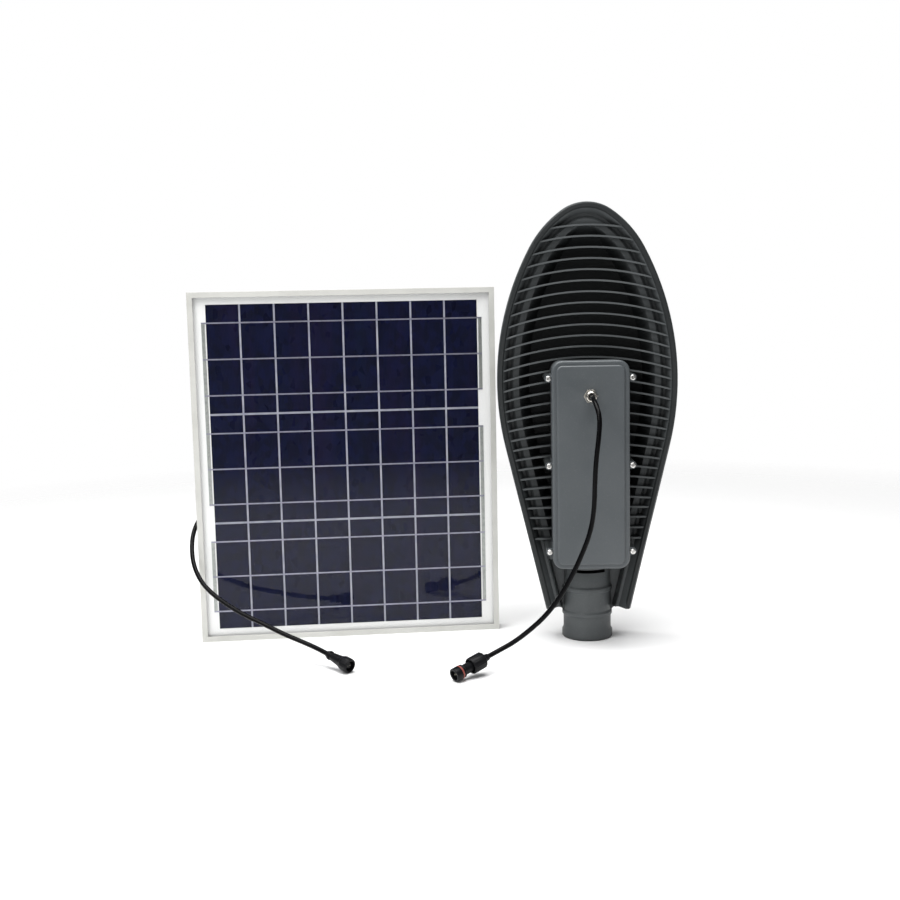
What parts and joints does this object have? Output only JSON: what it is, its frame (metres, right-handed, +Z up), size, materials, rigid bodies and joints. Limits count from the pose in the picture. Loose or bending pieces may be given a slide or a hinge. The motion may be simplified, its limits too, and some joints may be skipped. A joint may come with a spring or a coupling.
{
  "type": "solar street lamp",
  "caption": "Solar street lamp kit: framed solar panel with a cable, and a leaf-shaped finned lamp head with a rear battery box, cable and pole spigot.",
  "frame": {"origin": "centre of the base that the panel's bottom rail and the spigot's foot stand on, cables left out", "axes": "+X to the right along the panel, +Y towards the back of the panel, +Z up"},
  "size_m": [0.7038, 0.2887, 0.6229],
  "materials": {
    "housing": "die cast, dark grey fine-texture powder coat",
    "cover": "die cast, satin grey paint",
    "face_trim": "grey powder coat",
    "rubber": "matt black",
    "o_ring": "dull red silicone",
    "screw_steel": "zinc-plated",
    "nickel": "satin nickel plate",
    "aluminium_board": "white solder mask",
    "led_yellow": "phosphor",
    "clear_plastic": "clear moulded",
    "lamp_glass": "clear toughened",
    "driver_case": "satin",
    "battery_wrap": "shrink wrap",
    "contact_metal": "tinned",
    "holder_plastic": "moulded",
    "circuit_board": "green solder mask",
    "component_black": "moulded",
    "terminal_green": "moulded",
    "frame_white": "extruded, satin white powder coat",
    "raw_aluminium": "mill",
    "panel_glass": "low-iron, lightly textured",
    "film": "clear film",
    "backsheet": "white film",
    "silicon": "polycrystalline, blue anti-reflection coat",
    "ribbon": "tinned copper",
    "box_plastic": "moulded",
    "cable_sheath": "satin black",
    "plug_plastic": "moulded black"
  },
  "bodies": {
    "lamp_head": {"head_housing": "housing", "rear_cover": "cover", "rear_cover_gasket": "rubber", "rear_cover_screws": "screw_steel", "gland_body": "nickel", "gland_nut": "nickel", "gland_seal": "rubber", "gland_lock_nut": "nickel", "led_board": "aluminium_board", "led_packages": "led_yellow", "lens_sheet": "clear_plastic", "front_glass": "lamp_glass", "front_glass_gasket": "rubber", "front_bezel": "face_trim", "driver_bay_cover": "face_trim", "front_screws": "screw_steel", "led_driver": "driver_case", "battery_cells": "battery_wrap", "battery_strips": "contact_metal", "battery_holders": "holder_plastic", "controller_board": "circuit_board", "controller_components": "component_black", "terminal_block": "terminal_green", "head_cable": "cable_sheath", "head_plug_body": "plug_plastic", "head_plug_o_ring": "o_ring", "head_plug_pins": "contact_metal"},
    "panel_unit": {"frame_bottom_rail": "frame_white", "frame_top_rail": "frame_white", "frame_left_rail": "frame_white", "frame_right_rail": "frame_white", "frame_corner_keys": "raw_aluminium", "panel_glass": "panel_glass", "panel_backsheet": "backsheet", "encapsulant_films": "film", "panel_edge_seal": "rubber", "solar_cells": "silicon", "cell_ribbons": "ribbon", "bus_ribbons": "ribbon", "junction_box_base": "box_plastic", "junction_box_terminals": "contact_metal", "bypass_diode": "component_black", "junction_box_gland": "box_plastic", "junction_box_grommet": "rubber", "panel_cable": "cable_sheath", "panel_plug_body": "plug_plastic", "panel_plug_sockets": "contact_metal"},
    "junction_box_lid": {"junction_box_lid": "box_plastic", "junction_box_seal": "rubber"},
    "union_nut": {"union_nut": "plug_plastic"},
    "lower_pole_bolt": {"lower_pole_bolt": "screw_steel"},
    "upper_pole_bolt": {"upper_pole_bolt": "screw_steel"}
  },
  "joints": [
    {"name": "panel_shift", "type": "slide", "parent": "lamp_head", "child": "panel_unit", "axis": [-1, 0, 0], "range_m": [0, 0.3]},
    {"name": "lid_hinge", "type": "hinge", "parent": "panel_unit", "child": "junction_box_lid", "pos_m": [-0.203, 0.0849, 0.3914], "axis": [1, 0, 0], "range_deg": [0, 100]},
    {"name": "union_nut_turn", "type": "hinge", "parent": "lamp_head", "child": "union_nut", "pos_m": [0.03691, -0.15274, 0.01838], "axis": [0.8228, 0.5189, 0.2319], "continuous": true},
    {"name": "lower_bolt_travel", "type": "slide", "parent": "lamp_head", "child": "lower_pole_bolt", "axis": [-0.134, -0.991, 0], "range_m": [-0.004, 0.006]},
    {"name": "upper_bolt_travel", "type": "slide", "parent": "lamp_head", "child": "upper_pole_bolt", "axis": [-0.134, -0.991, 0], "range_m": [-0.004, 0.006]}
  ]
}
